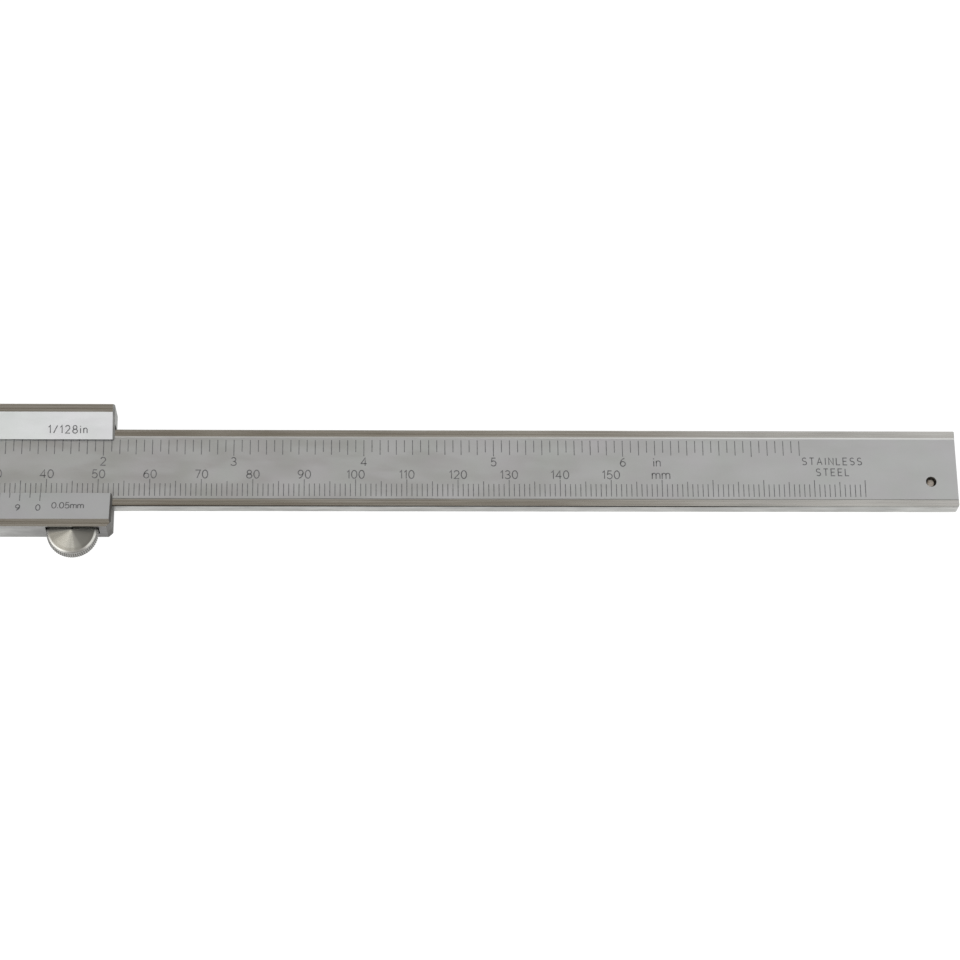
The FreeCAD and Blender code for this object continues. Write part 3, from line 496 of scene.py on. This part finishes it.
class Engraving:
    """Filled lines on a plane through an edge at (y, z): u runs along X, v from the edge up the plane."""

    def __init__(self, edge, away):
        self.edge = Vector((0, *edge))
        self.up = Vector((0, *away)).normalized()
        self.out = Vector((1, 0, 0)).cross(self.up)
        if self.out.z < 0:
            self.out = -self.out
        self.vertices, self.faces = [], []

    def spot(self, across, up, lift):
        """A point of the plane, lifted off it."""
        return Vector((across, 0, 0)) + self.edge + self.up * up + self.out * lift

    def stroke(self, points, wide):
        """A closed thin prism along a line of points."""
        closed = (Vector(points[0]) - Vector(points[-1])).length < 1e-6
        line = [Vector(point) for point in (points[:-1] if closed else points)]
        count = len(line)
        first = len(self.vertices)
        for index, point in enumerate(line):
            before = line[index - 1] if closed or index > 0 else None
            after = line[(index + 1) % count] if closed or index < count - 1 else None
            ways = [(end - start).normalized() for start, end in ((before, point), (point, after))
                    if start is not None and end is not None]
            along = sum(ways, Vector((0, 0))).normalized()
            side = Vector((-along.y, along.x))
            reach = wide / 2 / max(0.5, side.dot(Vector((-ways[0].y, ways[0].x))))
            for sign, lift in ((1, MARK_PROUD), (-1, MARK_PROUD), (-1, -MARK_SUNK), (1, -MARK_SUNK)):
                corner = point + side * reach * sign
                self.vertices.append(self.spot(corner.x, corner.y, lift))
        for index in range(count if closed else count - 1):
            here, there = first + index * 4, first + (index + 1) % count * 4
            for corner in range(4):
                beside = (corner + 1) % 4
                self.faces.append((here + corner, here + beside, there + beside, there + corner))
        if not closed:
            last = first + (count - 1) * 4
            self.faces.append(tuple(first + corner for corner in (3, 2, 1, 0)))
            self.faces.append(tuple(last + corner for corner in range(4)))

    def tick(self, across, low, high, wide=MARK_WIDE):
        """One graduation mark."""
        self.stroke([(across, low), (across, high)], wide)

    def write(self, text, left, base, tall, wide=NUMERAL_WIDE, gap=LETTER_GAP):
        """Letters from left on a baseline."""
        for letter in text:
            width, strokes = GLYPHS[letter]
            for points in strokes:
                self.stroke([(left + across * tall, base + up * tall) for across, up in points], wide)
            left += (width + gap) * tall

    def write_centred(self, text, middle, base, tall, wide=NUMERAL_WIDE, gap=LETTER_GAP):
        self.write(text, middle - text_width(text, tall, gap) / 2, base, tall, wide, gap)

    def place(self, name, body, slot):
        return add_piece(name, self.vertices, self.faces, [MARK_FILL], body)


def engrave_beam_metric():
    """Millimetres along the lower rail, numbered every 10, with the unit after the last number."""
    low, tops, tall, middle = -5.85, {10: -2.35, 5: -2.73, 1: -3.25}, 1.67, -1.3
    last_mark, last_number, unit_left = 200, 150, 158.1
    plate = Engraving((0, SCALE_FACE), (1, 0))
    for reading in range(last_mark + 1):
        step = next(size for size in (10, 5, 1) if reading % size == 0)
        plate.tick(reading, low, tops[step])
        if step == 10 and reading <= last_number:
            plate.write_centred(str(reading), reading, middle - tall / 2, tall)
    plate.write("mm", unit_left, middle - tall / 2, tall * 1.08)
    plate.place("beam_metric_scale", "beam", "beam_steel")


def engrave_beam_inch():
    """Sixteenths of an inch along the upper rail."""
    top, lows, tall, middle = 5.9, {16: 2.53, 2: 2.82, 1: 3.4}, 1.67, 1.34
    last_mark, last_number, unit_left = 7 * 16 + 6, 6 * 16, 158.4
    plate = Engraving((0, SCALE_FACE), (1, 0))
    for sixteenth in range(last_mark + 1):
        step = next(size for size in (16, 2, 1) if sixteenth % size == 0)
        across = sixteenth * INCH / 16
        plate.tick(across, lows[step], top)
        if step == 16 and sixteenth <= last_number:
            plate.write_centred(str(sixteenth // 16), across, middle - tall / 2, tall)
    plate.write("in", unit_left, middle - tall / 2, tall * 1.05)
    plate.place("beam_inch_scale", "beam", "beam_steel")


def engrave_beam_words():
    """The name of the steel, the only words on the beam."""
    middle, tall, wide, gap = 193.7, 1.45, 0.19, 0.42
    plate = Engraving((0, SCALE_FACE), (1, 0))
    for word, base in (("STAINLESS", 0.9), ("STEEL", -1.4)):
        plate.write_centred(word, middle, base, tall, wide, gap)
    plate.place("beam_words", "beam", "beam_steel")


def engrave_metric_vernier():
    """Twenty divisions over 39 mm, read to 0.05 mm, numbered every second mark."""
    plate = Engraving(LOWER_EDGE, LOWER_CREST - LOWER_EDGE)
    plate.up = -plate.up
    tall, middle, nudge = 1.32, -3.48, -0.25
    divisions, span = 20, 39
    for mark in range(divisions + 1):
        across = mark * span / divisions
        plate.tick(across, -0.05, -1.9 if mark % 2 == 0 else -1.15)
        if mark % 2 == 0:
            plate.write_centred(str(mark // 2 % 10), across + nudge, middle - tall / 2, tall)
    reading_left, reading_middle, reading_gap = 41.4, -2.95, 0.2
    plate.write("0.05mm", reading_left, reading_middle - tall / 2, tall, NUMERAL_WIDE, reading_gap)
    plate.place("slider_metric_vernier", "slider", "slider_steel")


def engrave_inch_vernier():
    """Eight divisions over seven sixteenths of an inch, read to 1/128 in."""
    plate = Engraving(UPPER_EDGE, UPPER_CREST - UPPER_EDGE)
    tall, base = 1.5, 2.4
    divisions, span = 8, INCH * 7 / 16
    for mark in range(divisions + 1):
        across = mark * span / divisions
        plate.tick(across, 0.05, 1.9 if mark % 4 == 0 else 1.15)
        if mark % 4 == 0:
            plate.write_centred(str(mark), across, base, tall)
    reading_left, reading_base, reading_gap = 40.05, 1.2, 0.36
    plate.write("1/128in", reading_left, reading_base, tall, NUMERAL_WIDE, reading_gap)
    plate.place("slider_inch_vernier", "slider", "slider_steel")


engrave_beam_metric()
engrave_beam_inch()
engrave_beam_words()
engrave_metric_vernier()
engrave_inch_vernier()


# ---------------------------------------------------------------- turned, knurled and threaded pieces


def smooth_radius(radius, height, turn):
    """Nothing cut into the turned surface."""
    return radius


def plain(pick, *places):
    """Profile rows that nothing is cut into, from (radius, height) pairs."""
    return [(radius, height, smooth_radius, pick) for radius, height in places]


def upright(across, up, height):
    """The axis along Z."""
    return across, up, height


def crosswise(across, up, height):
    """The axis along Y."""
    return up, height, across


def knurl(teeth, deep=KNURL_DEEP):
    """Straight V grooves along the axis."""
    def radius_at(radius, height, turn):
        phase = turn * teeth / math.tau % 1
        return radius - deep * abs(2 * phase - 1) ** 1.3
    return radius_at


def thread(pitch, deep):
    """A single V thread."""
    def radius_at(radius, height, turn):
        phase = (height / pitch - turn / math.tau) % 1
        return radius - deep * abs(2 * phase - 1)
    return radius_at


def lathe(profile, count, along):
    """Vertices and faces of a turned piece. profile rows are (radius, height, shape, material index).

    along maps (x, y, height) about the piece's own axis to its coordinates. A row of radius 0 is one point.
    """
    vertices, faces, picks, rings = [], [], [], []
    for radius, height, shape, pick in profile:
        if radius == 0:
            rings.append([len(vertices)])
            vertices.append(along(0, 0, height))
            continue
        ring = []
        for step in range(count):
            turn = math.tau * step / count
            reach = shape(radius, height, turn)
            ring.append(len(vertices))
            vertices.append(along(reach * math.cos(turn), reach * math.sin(turn), height))
        rings.append(ring)
    for (low, high), row in zip(zip(rings, rings[1:]), profile[1:]):
        for step in range(count):
            following = (step + 1) % count
            corners = [low[step % len(low)], low[following % len(low)],
                       high[following % len(high)], high[step % len(high)]]
            face = tuple(dict.fromkeys(corners))
            faces.append(face)
            picks.append(row[3])
    return vertices, faces, picks


def rows(radius, low, high, step, shape, pick=0):
    """Rows of one radius, close enough together to show what shape cuts into them."""
    count = max(1, round((high - low) / step))
    return [(radius, low + (high - low) * index / count, shape, pick) for index in range(count + 1)]


def add_turned(name, profile, count, along, materials, body, origin, sharp):
    """A lathe's piece, with each row's material on its faces."""
    vertices, faces, picks = lathe(profile, count, along)
    piece = add_piece(name, vertices, faces, materials, body, origin)
    for face, pick in zip(piece.data.polygons, picks):
        face.material_index = pick
    round_off(piece, sharp)
    return piece


def build_thumb_roller():
    """Knurled rim, a groove painted near-black as shade, and a disc with a rounded edge that rises to a very
    low cone.
    """
    rim = knurl(ROLLER_TEETH)
    shoulder = knurl(ROLLER_TEETH, KNURL_DEEP * 0.8)
    back = ROLLER_BACK
    profile = plain(
        1,
        (0, back + BORE_DEEP),
        (BORE_RADIUS, back + BORE_DEEP),
        (BORE_RADIUS, back),
        (2.2, back),
        (2.3, back + 0.12),
        (4.2, back + 0.12),
        (4.3, back),
        (ROLLER_RADIUS - 0.3, back),
    )
    profile += [
        (ROLLER_RADIUS - 0.12, back + 0.06, shoulder, 0),
        (ROLLER_RADIUS, back + 0.22, rim, 0),
        (ROLLER_RADIUS, RIM_TOP, rim, 0),
        (ROLLER_RADIUS - 0.08, RIM_TOP + 0.12, rim, 0),
        (ROLLER_RADIUS - 0.2, RIM_TOP + 0.2, shoulder, 0),
        (GROOVE_RADIUS + 0.26, GROOVE_FLOOR + 0.05, smooth_radius, 0),
    ]
    # the groove's rows take the painted shade
    profile += plain(
        2,
        (GROOVE_RADIUS + 0.2, GROOVE_FLOOR),
        (GROOVE_RADIUS, GROOVE_FLOOR),
        (GROOVE_RADIUS, GROOVE_TOP),
        (DISC_RADIUS - 0.04, GROOVE_TOP),
    )
    profile += plain(1, (DISC_RADIUS, GROOVE_TOP + 0.04))
    steps, sweep = 8, math.radians(82)
    for step in range(steps + 1):
        turn = sweep * step / steps
        radius = DISC_RADIUS - DISC_BEVEL * (1 - math.cos(turn))
        profile += plain(1, (radius, DISC_LOW + (DISC_SHOULDER - DISC_LOW) * math.sin(turn)))
    shoulder_radius, rings = profile[-1][0], 12
    rise = ROLLER_FACE - DISC_SHOULDER
    for ring in range(1, rings + 1):
        radius = shoulder_radius * (1 - ring / rings)
        profile += plain(1, (radius, ROLLER_FACE - 0.02 - rise * radius / shoulder_radius))

    knurled = make_knurled_steel("roller_knurl", False, ROLLER_RADIUS, KNURL_DEEP)
    materials = [knurled, ROLLER_STEEL, GROOVE_SHADE_STEEL]
    piece = add_turned("thumb_roller_knurled", profile, ROLLER_TEETH * 4, upright, materials,
                       "roller", (ROLLER_X, ROLLER_Y, 0), KNURL_SHARP)
    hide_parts("thumb_roller")


def build_lock_screw():
    """Clamping screw: threaded shank, neck, and a knurled head between two turned bands."""
    grip = knurl(LOCK_TEETH, LOCK_KNURL_DEEP)
    cut = thread(LOCK_PITCH, LOCK_THREAD_DEEP)
    profile = plain(1, (0, LOCK_TIP), (LOCK_RADIUS - 0.25, LOCK_TIP))
    profile += rows(LOCK_RADIUS, LOCK_TIP + 0.2, LOCK_NECK_LOW - 0.1, 0.06, cut, 1)
    profile += plain(
        1,
        (LOCK_RADIUS, LOCK_NECK_LOW),
        (LOCK_NECK, LOCK_NECK_LOW),
        (LOCK_NECK, LOCK_NECK_HIGH),
        (LOCK_HEAD_RADIUS - 0.45, LOCK_NECK_HIGH),
        (LOCK_HEAD_RADIUS - 0.1, LOCK_NECK_HIGH + 0.3),
        (LOCK_HEAD_RADIUS - 0.1, LOCK_NECK_HIGH + 0.7),
        (LOCK_HEAD_RADIUS - 0.25, LOCK_NECK_HIGH + 0.85),
    )
    profile += [
        (LOCK_HEAD_RADIUS, LOCK_NECK_HIGH + 1.1, grip, 0),
        (LOCK_HEAD_RADIUS, LOCK_TOP - 1.1, grip, 0),
    ]
    profile += plain(
        1,
        (LOCK_HEAD_RADIUS - 0.25, LOCK_TOP - 0.85),
        (LOCK_HEAD_RADIUS - 0.1, LOCK_TOP - 0.7),
        (LOCK_HEAD_RADIUS - 0.1, LOCK_TOP - 0.35),
        (LOCK_HEAD_RADIUS - 0.45, LOCK_TOP - 0.03),
        (1.6, LOCK_TOP),
        (1.5, LOCK_TOP - 0.1),
        (0, LOCK_TOP - 0.12),
    )
    knurled = make_knurled_steel("lock_knurl", True, LOCK_HEAD_RADIUS, LOCK_KNURL_DEEP)
    piece = add_turned("lock_screw_knurled", profile, LOCK_TEETH * 4, crosswise, [knurled, SCREW_STEEL],
                       "lock_screw", (LOCK_X, 0, LOCK_Z), KNURL_SHARP)
    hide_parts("lock_screw")


def build_stop_screw():
    """Countersunk screw of the stop plate; its threaded tip shows in the hole through the beam."""
    cut = thread(STOP_PITCH, STOP_THREAD_DEEP)
    head_low = STOP_SCREW_LOW + 0.04
    neck = head_low + STOP_SCREW_HEAD - STOP_SCREW_RADIUS
    profile = plain(
        0,
        (0, STOP_SCREW_LOW + STOP_RECESS_DEEP),
        (STOP_RECESS_RADIUS, STOP_SCREW_LOW + STOP_RECESS_DEEP),
        (STOP_RECESS_RADIUS, STOP_SCREW_LOW),
        (STOP_SCREW_HEAD, STOP_SCREW_LOW),
        (STOP_SCREW_HEAD, head_low),
        (STOP_SCREW_RADIUS, neck),
    )
    profile += rows(STOP_SCREW_RADIUS, neck + 0.05, STOP_SCREW_TIP - 0.3, 0.05, cut)
    profile += plain(
        0,
        (STOP_SCREW_RADIUS - 0.32, STOP_SCREW_TIP - 0.02),
        (STOP_SCREW_RADIUS - 0.45, STOP_SCREW_TIP),
        (0, STOP_SCREW_TIP),
    )
    sides = 48
    piece = add_turned("stop_plate_screw_threaded", profile, sides, upright, [SCREW_STEEL],
                       "beam", (STOP_X, STOP_Y, 0), THREAD_SHARP)
    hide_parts("stop_plate_screw")


build_thumb_roller()
build_lock_screw()
build_stop_screw()


# ---------------------------------------------------------------- floor, light and camera


def build_floor():
    """A pale, faintly glowing floor, so that the shadows stay soft and light."""
    mesh = bpy.data.meshes.new("floor")
    signs = ((-1, -1), (1, -1), (1, 1), (-1, 1))
    corners = [Vector((FLOOR_HALF * x, FLOOR_HALF * y, FLOOR_LEVEL)) * MM for x, y in signs]
    mesh.from_pydata([tuple(corner) for corner in corners], [], [(0, 1, 2, 3)])
    floor = bpy.data.objects.new("floor", mesh)
    bpy.context.scene.collection.objects.link(floor)
    material = bpy.data.materials.new("floor")
    material.use_nodes = True
    surface = material.node_tree.nodes["Principled BSDF"]
    surface.inputs["Base Color"].default_value = (0.25, 0.25, 0.25, 1)
    surface.inputs["Roughness"].default_value = 0.9
    surface.inputs["Specular IOR Level"].default_value = 0
    surface.inputs["Emission Color"].default_value = (1, 1, 1, 1)
    surface.inputs["Emission Strength"].default_value = 0.92
    mesh.materials.append(material)


# The room's brightness over the top of the object, by angle from straight up towards +Y, in degrees.
ROOM = [
    (-90, (0.22, 0.22, 0.22)),
    (-76, (0.25, 0.25, 0.25)),
    (-64, (1.3, 1.3, 1.3)),
    (0, (1.3, 1.3, 1.3)),
    (12, (0.30, 0.275, 0.24)),
    (34, (0.30, 0.275, 0.24)),
    (50, (0.62, 0.62, 0.62)),
    (90, (0.7, 0.7, 0.7)),
]
# Towards +X the band gives way to an even grey, over this range of a direction's X.
ROOM_RIGHT, ROOM_LEAN = 0.78, (0.07, 0.17)


def build_world():
    """Soft studio room: bright overhead and in front, a darker warm band behind that fades towards +X."""
    world = bpy.data.worlds.new("room")
    bpy.context.scene.world = world
    world.use_nodes = True
    nodes, links = world.node_tree.nodes, world.node_tree.links
    coordinates = nodes.new("ShaderNodeTexCoord")
    split = nodes.new("ShaderNodeSeparateXYZ")
    links.new(coordinates.outputs["Generated"], split.inputs[0])
    angle = nodes.new("ShaderNodeMath")
    angle.operation = "ARCTAN2"
    links.new(split.outputs[1], angle.inputs[0])
    links.new(split.outputs[2], angle.inputs[1])
    share = nodes.new("ShaderNodeMapRange")
    share.inputs["From Min"].default_value = -math.pi / 2
    share.inputs["From Max"].default_value = math.pi / 2
    links.new(angle.outputs[0], share.inputs[0])
    ramp = nodes.new("ShaderNodeValToRGB")
    stops = ramp.color_ramp.elements
    while len(stops) < len(ROOM):
        stops.new(0.5)
    for stop, (degrees, colour) in zip(stops, ROOM):
        stop.position = (degrees + 90) / 180
        stop.color = (*colour, 1)
    links.new(share.outputs[0], ramp.inputs[0])
    lean = nodes.new("ShaderNodeMapRange")
    lean.interpolation_type = "SMOOTHSTEP"
    lean.inputs["From Min"].default_value = ROOM_LEAN[0]
    lean.inputs["From Max"].default_value = ROOM_LEAN[1]
    links.new(split.outputs[0], lean.inputs[0])
    mix = nodes.new("ShaderNodeMix")
    mix.data_type = "RGBA"
    sockets = {item.identifier: item for item in mix.inputs}
    links.new(lean.outputs[0], sockets["Factor_Float"])
    links.new(ramp.outputs[0], sockets["A_Color"])
    sockets["B_Color"].default_value = (ROOM_RIGHT, ROOM_RIGHT, ROOM_RIGHT, 1)
    result = [item for item in mix.outputs if item.identifier == "Result_Color"][0]
    links.new(result, nodes["Background"].inputs[0])


CAMERA_YAW = math.radians(-2.135)
CAMERA_TILT = math.radians(21.054)
CAMERA_ROLL = math.radians(-0.714)
CAMERA_FOCUS = Vector((124.29, -2.51, RAIL_FACE)) * MM
CAMERA_DISTANCE = 540.1 * MM
CAMERA_LENS, CAMERA_SENSOR = 103.65, 36


def build_camera():
    """A long lens, aimed at a point on the rails and tilted towards the lower edge."""
    back = Vector((
        math.sin(CAMERA_YAW),
        -math.sin(CAMERA_TILT) * math.cos(CAMERA_YAW),
        math.cos(CAMERA_TILT) * math.cos(CAMERA_YAW),
    ))
    right = Vector((0, 1, 0)).cross(back).normalized()
    up = back.cross(right)
    turn = Matrix.Rotation(CAMERA_ROLL, 3, back)
    right, up = turn @ right, turn @ up
    data = bpy.data.cameras.new("camera")
    data.lens = CAMERA_LENS
    data.sensor_width = CAMERA_SENSOR
    camera = bpy.data.objects.new("camera", data)
    place = Matrix((right, up, back)).transposed().to_4x4()
    place.translation = CAMERA_FOCUS + back * CAMERA_DISTANCE
    camera.matrix_world = place
    bpy.context.scene.collection.objects.link(camera)
    bpy.context.scene.camera = camera


build_floor()
build_world()
build_camera()
bpy.context.scene.view_settings.view_transform = "Standard"
